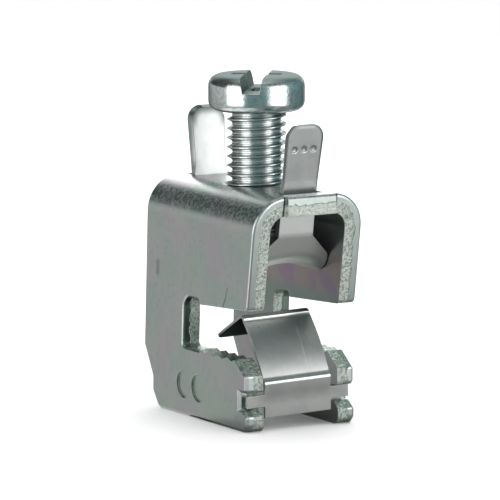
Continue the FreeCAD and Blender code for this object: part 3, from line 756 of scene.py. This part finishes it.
def turned(work, half_section, steps):
    """A closed turned shape from half its section, given from axis to axis."""
    section = [(reach, 0, rise) for reach, rise in half_section]
    sweep(work, section, math.tau, steps, use_merge=True)
    bmesh.ops.remove_doubles(work, verts=work.verts, dist=1e-5)
    bmesh.ops.translate(work, vec=(0, SCREW_Y, 0), verts=work.verts)
    bmesh.ops.recalc_face_normals(work, faces=work.faces)


def turn_head(work):
    under = arc_points((HEAD_RADIUS - UNDER_ROUND, HEAD_FOOT + UNDER_ROUND), UNDER_ROUND, -90, 0, 8)
    over = arc_points((HEAD_RADIUS - TOP_ROUND, HEAD_TOP - TOP_ROUND), TOP_ROUND, 0, 90, 10)
    turned(work, [(0, HEAD_FOOT)] + under + over + [(0, HEAD_TOP)], HEAD_STEPS)


def turn_pin(work):
    rim = PIN_HEAD_RADIUS - PIN_EDGE_IN
    top = THREAD_FOOT + PIN_IN_THREAD
    turned(work, [(0, PIN_HEAD_FOOT), (rim, PIN_HEAD_FOOT),
                  (PIN_HEAD_RADIUS, PIN_HEAD_FOOT + PIN_EDGE_UP),
                  (PIN_HEAD_RADIUS, PIN_HEAD_TOP - PIN_EDGE_UP),
                  (rim, PIN_HEAD_TOP), (PIN_RADIUS, PIN_HEAD_TOP),
                  (PIN_RADIUS, top), (0, top)], PIN_STEPS)


def tapered_block(work, levels, turned_by):
    """A block with its own half length and half width at its lower and its upper level."""
    made = bmesh.ops.create_cube(work, size=1.0)["verts"]
    for vert in made:
        rise, half_x, half_y = levels[vert.co.z > 0]
        vert.co = Vector((math.copysign(half_x, vert.co.x), math.copysign(half_y, vert.co.y),
                          HEAD_TOP + rise))
    bmesh.ops.rotate(work, verts=made, matrix=Matrix.Rotation(turned_by, 3, "Z"))
    bmesh.ops.translate(work, vec=(0, SCREW_Y, 0), verts=made)


def slot_cutter(work):
    """A long wedge along the slot, as deep as the slot and open above."""
    flare = (SLOT_MOUTH - SLOT_FLOOR) / 2 / SLOT_DEPTH
    levels = [(rise, SLOT_FLOOR / 2 + flare * (rise + SLOT_DEPTH), 2 * HEAD_RADIUS)
              for rise in (-SLOT_DEPTH, SLOT_ABOVE)]
    tapered_block(work, levels, SLOT_TURN)


def cross_cutter(work, arm):
    """One arm of the tapered cross, from side to side of the recess."""
    levels = []
    for rise in (-CROSS_DEPTH, CROSS_ABOVE):
        narrowing = CROSS_TAPER ** (-rise / CROSS_DEPTH * CROSS_TAPER_RATE)
        levels.append((rise, CROSS_SPAN / 2 * narrowing, CROSS_WIDTH / 2 * narrowing))
    tapered_block(work, levels, SLOT_TURN + arm * math.pi / 2)


head_mesh = carve(mesh_of("head", turn_head), mesh_of("slot_cutter", slot_cutter))
for arm in range(2):
    head_mesh = carve(head_mesh, mesh_of("cross_cutter", lambda work: cross_cutter(work, arm)))
pin_mesh = mesh_of("pin", turn_pin)


def join_screw(work):
    for part in (head_mesh, thread_mesh, pin_mesh):
        work.from_mesh(part)


screw_mesh = mesh_of("screw", join_screw, 1.0)
finished("threaded_screw", screw_mesh, bright_screw, "screw", "clamp_screw")

# %% [markdown]
# ## Bent sheet pieces
# The saddle and the clip are both blanked from flat sheet and then bent. So is
# each here: a flat grid of columns and rows is laid along a bend line, and the
# sheet is given its thickness last. A grid keeps the bends smooth and leaves
# fine rows where small marks are pressed in.

# %% helpers for bent sheet
def stations(*stretches):
    """Even steps from stretch to stretch. Each stretch is its end and its step."""
    places = [stretches[0][0]]
    for (start, _), (end, step) in zip(stretches, stretches[1:]):
        count = max(1, round((end - start) / step))
        places += [start + (end - start) * number / count for number in range(1, count + 1)]
    return places


def lay_sheet(work, columns, rows, point):
    """A grid: a column for each share of the width, a row for each place along it."""
    last_column, last_row = len(columns) - 1, len(rows) - 1
    made = bmesh.ops.create_grid(work, x_segments=last_column, y_segments=last_row, size=0.5)
    for vert in made["verts"]:
        column = round((vert.co.x + 0.5) * last_column)
        row = round((vert.co.y + 0.5) * last_row)
        vert.co = point(columns[column], rows[row])
    bmesh.ops.recalc_face_normals(work, faces=work.faces)


print("sheet helpers ready")

# %% [markdown]
# ## Pressure saddle
# The saddle's plate is arched, so that it grips round cable, and its two arms
# lean out as they rise through the slots of the web. The outline narrows from
# the plate's shoulders to the arms. Bending a flat mesh with a modifier would
# make one bend only, so each row is placed on a line that is worked out here.

# %% saddle line
STRIP_GAUGE = 0.9
PLATE_HALF = 5.6
PLATE_ARCH = 1.35
PLATE_REACH = 9.24
PLATE_BEND = 3.0
CREASE_REACH = 11.18
CREASE_RISE = 5.3
WAIST_REACH = 12.2
WAIST_RISE = 11.35
FRONT_FLARE = 1.85
BACK_FLARE = 1.0
SHOULDER_RISE = 2.5
CREASE_HALF = 2.65
WAIST_HALF = 2.6
RIM_WIDTH = 0.45
RIM_DROP = 0.10
RIM_GROWTH = 6
WAIST_SHARE = 4
# Heights above the foot and the half widths there, up to the tabs' round tops.
OUTLINE = ((0, PLATE_HALF), (SHOULDER_RISE, PLATE_HALF), (CREASE_RISE, CREASE_HALF),
           (WAIST_RISE, WAIST_HALF), (TIP_RISE - TAB_ROUND, TAB_HALF))
ARCH_RADIUS = (PLATE_HALF ** 2 + PLATE_ARCH ** 2) / (2 * PLATE_ARCH)
SIDE_LEAN = math.atan2(CREASE_REACH - PLATE_REACH, CREASE_RISE)
BEND_SWEEP = math.pi / 2 - SIDE_LEAN


def bend_point(flat_end, lift, angle):
    """A place on the bend between the plate and an arm."""
    return Vector((flat_end + PLATE_BEND * math.sin(angle),
                   lift + PLATE_BEND * (1 - math.cos(angle))))


def strip_line(share, across):
    """Reach and rise of the strip's outer side.

    The share is 0 at the plate's middle, 1 and 2 at the ends of its bend, 3 at
    the crease, 4 at the waist and 5 at a tab's tip.
    """
    sunk = math.sqrt(ARCH_RADIUS ** 2 - min(across, PLATE_HALF) ** 2)
    lift = PLATE_ARCH - ARCH_RADIUS + sunk
    corner = PLATE_REACH + (CREASE_REACH - PLATE_REACH) * lift / CREASE_RISE
    flat_end = corner - PLATE_BEND * math.tan(BEND_SWEEP / 2)
    crease = Vector((CREASE_REACH, CREASE_RISE))
    waist = Vector((WAIST_REACH, WAIST_RISE))
    if share <= 1:
        return Vector((flat_end * share, lift))
    if share <= 2:
        return bend_point(flat_end, lift, BEND_SWEEP * (share - 1))
    if share <= 3:
        return bend_point(flat_end, lift, BEND_SWEEP).lerp(crease, share - 2)
    if share <= 4:
        return crease.lerp(waist, share - 3)
    return waist.lerp(Vector((WAIST_REACH, TIP_RISE)), share - 4)


def half_width(rise):
    """Half the strip's width at a height above its foot, as it is seen from the front."""
    for (start, first), (end, second) in zip(OUTLINE, OUTLINE[1:]):
        if rise <= end:
            return first + (second - first) * (rise - start) / (end - start)
    left = max(0.0, TAB_ROUND ** 2 - (rise - OUTLINE[-1][0]) ** 2)
    return TAB_HALF - TAB_ROUND + math.sqrt(left)


def strip_point(column, share):
    """A place on the outer side. Negative shares are the front arm, others the back arm."""
    along = abs(share)
    across = PLATE_HALF
    for _ in range(12):
        across = half_width(strip_line(along, across).y)
    across *= column
    line = strip_line(along, abs(across))
    if along > WAIST_SHARE:
        up_tab = along - WAIST_SHARE
        line.x += (FRONT_FLARE if share < 0 else BACK_FLARE) * up_tab
        to_rim = min(half_width(line.y) - abs(across), TIP_RISE - line.y)
        line.x -= RIM_DROP * max(0.0, 1 - to_rim / RIM_WIDTH) ** 2 * min(1.0, up_tab * RIM_GROWTH)
    return Vector((across, SADDLE_Y + math.copysign(line.x, share), SADDLE_FOOT + line.y))


print("the arch has a radius of", round(ARCH_RADIUS, 2), "mm")

# %% [markdown]
# Three plain round dots are pressed in the front tab. They could be bumps in
# the finish, but pressed metal has a real slope that catches the light, so the
# outer face is given fine rows there and its points are pushed in. The hole for
# the screw's pin is cut last.

# %% saddle strip
DOT_MIDDLE = 37.6
DOT_DEPTH = 0.16
DOT_RADIUS = 0.46
DOT_SLOPE = 0.2
DOT_PLACES = (-1.45, 0.0, 1.45)
DOT_ROWS = 1.4
EDGE_COLUMNS = (-1.0, -0.97, -0.94, -0.91, -0.88, -0.84)
MIDDLE_COLUMNS = ((-0.80, 0), (0.80, 0.032))
ARM_ROWS = ((0, 0), (1, 0.1), (2, 0.07), (3, 0.1), (4, 0.1))
TAB_STEP = 0.06
UNDER_DOTS_STEP = 0.05
DOT_STEP = 0.0095
TIP_ANGLES = (10, 20, 30, 40, 50, 60, 70, 78, 85, 90)
HOLE_PLAY = 0.06


def tab_share(rise):
    """The share along the strip of a height on its upright tab."""
    return WAIST_SHARE + (rise - WAIST_RISE) / (TIP_RISE - WAIST_RISE)


def dot_depth(across, rise):
    """How deep the plain dots are pressed in at a place on the front tab."""
    nearest = min(math.hypot(across - place, rise) for place in DOT_PLACES)
    share = min(1.0, max(0.0, (DOT_RADIUS - nearest) / DOT_SLOPE))
    return DOT_DEPTH * share * share * (3 - 2 * share)


def bend_saddle(work):
    columns = [*EDGE_COLUMNS, *stations(*MIDDLE_COLUMNS), *(-place for place in EDGE_COLUMNS[::-1])]
    round_end = (tab_share(TIP_RISE - TAB_ROUND), TAB_STEP)
    tip_rows = [tab_share(TIP_RISE - TAB_ROUND * (1 - math.sin(math.radians(angle))))
                for angle in TIP_ANGLES]
    back = stations(*ARM_ROWS, round_end) + tip_rows
    dots = DOT_MIDDLE - SADDLE_FOOT
    front = stations(*ARM_ROWS, (tab_share(dots - DOT_ROWS / 2), UNDER_DOTS_STEP),
                     (tab_share(dots + DOT_ROWS / 2), DOT_STEP), round_end) + tip_rows
    lay_sheet(work, columns, [-share for share in reversed(front)] + back[1:], strip_point)
    outer = work.verts[:]
    plate = [face for face in work.faces if abs(face.calc_center_median().y) < 3]
    if sum(face.normal.z for face in plate) > 0:
        bmesh.ops.reverse_faces(work, faces=work.faces)
    for vert in outer:
        vert.normal_update()
    bmesh.ops.solidify(work, geom=work.faces[:], thickness=STRIP_GAUGE)
    for vert in outer:
        if vert.co.y < -WAIST_REACH:
            vert.co.y += dot_depth(vert.co.x, vert.co.z - DOT_MIDDLE)
    for vert in work.verts:
        vert.co.x = max(-PLATE_HALF, min(PLATE_HALF, vert.co.x))
    bmesh.ops.recalc_face_normals(work, faces=work.faces)


def pin_hole(work):
    radius = PIN_RADIUS + HOLE_PLAY
    made = bmesh.ops.create_cone(work, cap_ends=True, segments=PIN_STEPS, radius1=radius,
                                 radius2=radius, depth=6.0)["verts"]
    bmesh.ops.translate(work, vec=(0, SCREW_Y, SADDLE_FOOT + PLATE_ARCH), verts=made)


saddle_mesh = carve(mesh_of("saddle", bend_saddle), mesh_of("pin_hole", pin_hole))
finished("bent_saddle", saddle_mesh, satin_strip, "saddle", "pressure_saddle")

# %% [markdown]
# ## Retaining clip
# The clip is thin spring sheet. It is folded at its foot, bows up to a peak
# and turns down behind it. Its two ears sit in the slots of the jaws, and it
# stands a little askew in them. The ears are pulled out of the sheet's edges by
# extruding them, as they are part of the same blank: boxes set against the
# sheet would leave a seam.

# %% clip line
CLIP_GAUGE = 0.35
CLIP_HALF = 5.1
EAR_REACH = 7.85
EAR_HALF = 0.8
CLIP_BEND = 0.85
LEG_RADIUS = 28.0
CLIP_ROLL = math.radians(-1.7)
TAIL_ROUND = 1.2
CLIP_FOOT = Vector((0.0, -2.35))
CLIP_FOLD = Vector((0.0, 2.3))
CLIP_PEAK = Vector((5.6, 10.75))
CLIP_TAIL = Vector((12.9, 7.0))
TAIL_ANGLES = (0, 15, 30, 45, 60, 75, 90)
NEAR = 0.01


def bowed(first, second, radius, count):
    """Points of an arc between two ends that bulges to the left of the way."""
    chord = second - first
    aside = Vector((-chord.y, chord.x)).normalized()
    middle = (first + second) / 2 - aside * math.sqrt(radius ** 2 - (chord.length / 2) ** 2)
    start = math.degrees(math.atan2(first.y - middle.y, first.x - middle.x))
    end = math.degrees(math.atan2(second.y - middle.y, second.x - middle.x))
    return arc_points(middle, radius, start, end, count)


def rounded_bend(before, corner, after, radius, count):
    """Points of a round bend that replaces a corner between two straight runs."""
    one = (before - corner).normalized()
    two = (after - corner).normalized()
    half = one.angle(two) / 2
    middle = corner + (one + two).normalized() * (radius / math.sin(half))
    start = corner + one * (radius / math.tan(half)) - middle
    end = corner + two * (radius / math.tan(half)) - middle
    return [middle + start.slerp(end, step / count) for step in range(count + 1)]


def clip_line():
    """The outer side of the sheet from its foot to its tail, as reach and rise."""
    leg = bowed(CLIP_FOLD, CLIP_PEAK, LEG_RADIUS, 24)
    fold = rounded_bend(CLIP_FOOT, CLIP_FOLD, leg[2], CLIP_BEND, 6)
    peak = rounded_bend(leg[-3], CLIP_PEAK, CLIP_TAIL, CLIP_BEND, 8)
    ears = [Vector((0.0, -EAR_HALF)), Vector((0.0, EAR_HALF))]
    foot = [CLIP_FOOT.lerp(ears[0], step / 3) for step in range(3)]
    leg = [spot for spot in leg if fold[-1].y < spot.y < peak[0].y - 0.05]
    tail = [peak[-1].lerp(CLIP_TAIL, step / 12) for step in range(1, 9)]
    up_tail = (CLIP_PEAK - CLIP_TAIL).normalized() * TAIL_ROUND
    tip = [CLIP_TAIL + up_tail * (1 - math.sin(math.radians(angle))) for angle in TAIL_ANGLES]
    return foot + ears + fold + leg + peak + tail + tip


print("the clip's line has", len(clip_line()), "points")

# %% [markdown]
# The line is now given its width, and its tail is rounded off. The ears are
# pulled out before the sheet gets its thickness, so that it runs through them.

# %% clip sheet
def pull_out_ear(work, side):
    """The edge beside one ear is drawn out into the ear. The side is -1 or 1."""
    stub = [edge for edge in work.edges
            if all(side * vert.co.x > CLIP_HALF - NEAR and abs(vert.co.z) < EAR_HALF + NEAR
                   and abs(vert.co.y) < NEAR for vert in edge.verts)]
    for vert in bmesh.ops.extrude_edge_only(work, edges=stub)["geom"]:
        if isinstance(vert, bmesh.types.BMVert):
            vert.co.x = side * EAR_REACH


def clip_point(column, spot):
    left = (CLIP_TAIL - spot).length
    half = CLIP_HALF
    if left < TAIL_ROUND:
        half += math.sqrt(TAIL_ROUND ** 2 - (TAIL_ROUND - left) ** 2) - TAIL_ROUND
    return Vector((half * column, spot.x, spot.y))


def bend_clip(work):
    lay_sheet(work, stations((-1, 0), (1, 0.1)), clip_line(), clip_point)
    pull_out_ear(work, -1)
    pull_out_ear(work, 1)
    bmesh.ops.recalc_face_normals(work, faces=work.faces)
    foot = [face for face in work.faces if face.calc_center_median().z < 0]
    if sum(face.normal.y for face in foot) > 0:
        bmesh.ops.reverse_faces(work, faces=work.faces)
    bmesh.ops.solidify(work, geom=work.faces[:], thickness=CLIP_GAUGE)
    bmesh.ops.recalc_face_normals(work, faces=work.faces)
    bmesh.ops.rotate(work, verts=work.verts, matrix=Matrix.Rotation(CLIP_ROLL, 3, "Y"))
    bmesh.ops.translate(work, vec=(0, EAR_Y, EAR_Z), verts=work.verts)


clip_mesh = mesh_of("clip", bend_clip)
finished("sprung_clip", clip_mesh, spring_sheet, "clip", "retaining_clip")

# %% [markdown]
# ## Floor
# The part stands on a plain pale floor. The floor is one large disc made by
# a bmesh operator.
# It is kept out of the metal's reflections: cards stand in for it there.

# %% floor
FLOOR_RADIUS = 6.0
FLOOR_PALE = (0.96, 0.96, 0.96)
DISC_SIDES = 64


def paint(name, colour, rough=1.0):
    made = bpy.data.materials.new(name)
    made.use_nodes = True
    shader_of(made).inputs["Base Color"].default_value = opaque(colour)
    shader_of(made).inputs["Roughness"].default_value = rough
    return made


def stage_piece(name, recipe, finish):
    """A piece of the studio, drawn in metres."""
    piece = in_scene(name, mesh_of(name, recipe, 1.0))
    piece.data.materials.append(finish)
    return piece


def disc(radius, middle):
    """The recipe of a level disc."""
    place = Matrix.Translation(middle)
    return lambda work: bmesh.ops.create_circle(work, cap_ends=True, radius=radius,
                                                segments=DISC_SIDES, matrix=place)


floor = stage_piece("floor", disc(FLOOR_RADIUS, Vector((0.0, 0.0, 0.0))),
                    paint("floor_paint", FLOOR_PALE, 0.8))
floor.visible_glossy = False
print("floor radius", FLOOR_RADIUS)

# %% [markdown]
# ## World
# The camera sees white behind the part, and so do the metal's reflections. A
# white wall could stand there, but it would have to be lit as evenly as paper.
# The rest of the light comes from a world that is a little dimmer.

# %% world
ROOM_GLOW = 0.95
BACKDROP_GLOW = 1.0


def background(tree, glow):
    return add(tree, "ShaderNodeBackground", {"Color": opaque(WHITE), "Strength": glow}).outputs[0]


world = bpy.data.worlds.new("studio")
bpy.context.scene.world = world
world.use_nodes = True
sky = world.node_tree
sky.nodes.clear()
rays = add(sky, "ShaderNodeLightPath").outputs
mirrored = maths(sky, "MAXIMUM", rays["Is Glossy Ray"], rays["Is Transmission Ray"])
seen = maths(sky, "MAXIMUM", rays["Is Camera Ray"], mirrored)
mixed = add(sky, "ShaderNodeMixShader", {0: seen, 1: background(sky, ROOM_GLOW),
                                         2: background(sky, BACKDROP_GLOW)})
add(sky, "ShaderNodeOutputWorld", {"Surface": mixed.outputs[0]})
print("the room glows", ROOM_GLOW, "behind a white backdrop")

# %% [markdown]
# ## Lamps
# Two soft lamps stand left and right of the camera, one hangs above and one
# stands low behind the part. Large lamps near a small part make the long soft
# highlights that polished metal has in product pictures. The upper one isn't
# mirrored by the metal, or the web would turn white.

# %% lamps
CENTRE = Vector((0.0, 0.0, 22.0)) * MM
SIDE_REACH = 0.45
TOP_REACH = 0.55
# Heading, rise, reach, width, height and glow, which is 1 for white paper.
LAMPS = {"lamp_left": (-52, 4, SIDE_REACH, 0.32, 0.36, 1.35),
         "lamp_right": (54, 7, SIDE_REACH, 0.33, 0.36, 1.5),
         "lamp_top": (150, 78, TOP_REACH, 0.45, 0.45, 1.5),
         "lamp_back": (180, 24, SIDE_REACH, 0.5, 0.26, 1.5)}


def heading(degrees):
    """A level direction, in degrees to the right of the camera as seen from the part."""
    angle = math.radians(degrees)
    return Vector((right.x * math.sin(angle) - look.x * math.cos(angle),
                   right.y * math.sin(angle) - look.y * math.cos(angle), 0.0)).normalized()


def hung_at(degrees, rise, reach):
    """A place at a heading and a rise above the level, seen from the part."""
    rise = math.radians(rise)
    way = heading(degrees) * math.cos(rise) + Vector((0, 0, math.sin(rise)))
    return CENTRE + way * reach


def soft_lamp(name, degrees, rise, reach, width, height, glow):
    """A glowing rectangle that looks at the part."""
    data = bpy.data.lights.new(name, "AREA")
    data.shape = "RECTANGLE"
    data.size = width
    data.size_y = height
    data.energy = glow * math.pi * width * height
    lamp = in_scene(name, data)
    lamp.location = hung_at(degrees, rise, reach)
    lamp.rotation_euler = (CENTRE - lamp.location).to_track_quat("-Z", "Y").to_euler()
    return lamp


lamps = {name: soft_lamp(name, *values) for name, values in LAMPS.items()}
lamps["lamp_top"].visible_glossy = False
lamps["lamp_back"].visible_camera = False
print("hung", len(lamps), "lamps,", SIDE_REACH, "and", TOP_REACH, "m away")

# %% [markdown]
# ## Cards
# Shiny metal shows only what stands round it. In an all-white room it would
# have no shape, so dark and grey cards, called flags, stand between the lamps.
# Two discs on the floor do the same for the faces that look down; the small
# dark one under the part is a painted shadow, the shade between the walls as
# the metal mirrors it. Real cards would also darken the floor, so these show in
# reflections only.

# %% cards
FLAG_REACH = 0.52
FLAG_STEPS = 24
TEAL_SHADE = (0.135, 0.215, 0.22)
DARK = (0.03, 0.035, 0.035)
SOFT_DARK = (0.08, 0.09, 0.09)
MIDDLE_GREY = (0.45, 0.46, 0.45)
TABLE_GREY = (0.165, 0.17, 0.165)
TABLE_SHADE = (0.03, 0.03, 0.03)
# Two headings, two rises and a colour.
FLAGS = {"flag_left_low": (-168, -76, -40, 9, MIDDLE_GREY),
         "flag_left_high": (-160, -76, 9, 62, DARK),
         "flag_middle": (-30, 29, -40, 62, TEAL_SHADE),
         "flag_right": (79, 150, -40, 62, TEAL_SHADE),
         "flag_over_lamps": (-76, 79, 36, 62, SOFT_DARK),
         "flag_under_lamps": (-76, 79, -42, -19, MIDDLE_GREY)}
# The small dark disc under the part is a painted shadow in reflections.
# A radius and a middle in metres, and a colour.
TABLES = {"grey_table": (0.05, heading(60) * 0.045 + Vector((0, 0, 0.00005)), TABLE_GREY),
          "shaded_table": (0.0088, Vector((0, 0, 0.0001)), TABLE_SHADE)}


def curved_card(start, end, low, high):
    """The recipe of a card between two headings and two rises."""
    side = [hung_at(start, rise, FLAG_REACH) for rise in (low, (low + high) / 2, high)]
    return lambda work: sweep(work, side, math.radians(end - start), FLAG_STEPS, CENTRE)


def card(name, recipe, colour):
    """A stage piece that shows in reflections only."""
    made = stage_piece(name, recipe, paint(name + "_paint", colour))
    made.visible_camera = False
    made.visible_shadow = False
    made.visible_diffuse = False


for name, (*span, colour) in FLAGS.items():
    card(name, curved_card(*span), colour)
for name, (*span, colour) in TABLES.items():
    card(name, disc(*span), colour)
print("set up", len(FLAGS), "flags", FLAG_REACH, "m away and", len(TABLES), "discs")
